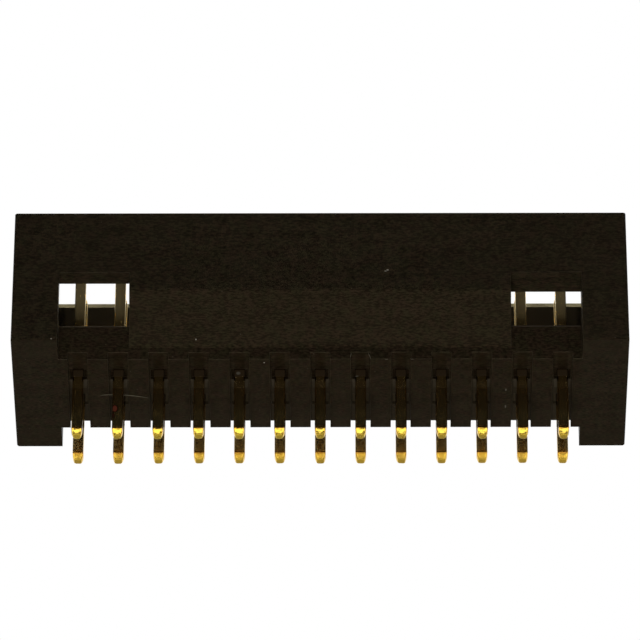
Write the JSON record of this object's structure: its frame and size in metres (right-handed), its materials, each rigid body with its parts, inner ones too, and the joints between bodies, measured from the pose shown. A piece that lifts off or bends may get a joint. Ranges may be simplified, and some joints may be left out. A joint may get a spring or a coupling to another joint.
{
  "type": "shrouded pin header",
  "caption": "Board-mounted pin header: a black moulded shroud on end feet holds rows of gold-plated square posts that stand up into its mating cavity.",
  "frame": {"origin": "middle of the board seating plane, halfway between the two rows of posts", "axes": "+X along the rows of posts, +Y towards the rear side wall, +Z towards the mating opening; the keyed front wall faces -Y"},
  "size_m": [0.0386, 0.011, 0.0147],
  "materials": {
    "housing_plastic": "black glass-filled moulding, satin",
    "post_metal": "copper alloy with bright gold plating"
  },
  "bodies": {
    "root": {"housing": "housing_plastic", "post_a01": "post_metal", "post_a02": "post_metal", "post_a03": "post_metal", "post_a04": "post_metal", "post_a05": "post_metal", "post_a06": "post_metal", "post_a07": "post_metal", "post_a08": "post_metal", "post_a09": "post_metal", "post_a10": "post_metal", "post_a11": "post_metal", "post_a12": "post_metal", "post_a13": "post_metal", "post_b01": "post_metal", "post_b02": "post_metal", "post_b03": "post_metal", "post_b04": "post_metal", "post_b05": "post_metal", "post_b06": "post_metal", "post_b07": "post_metal", "post_b08": "post_metal", "post_b09": "post_metal", "post_b10": "post_metal", "post_b11": "post_metal", "post_b12": "post_metal", "post_b13": "post_metal"}
  },
  "joints": []
}
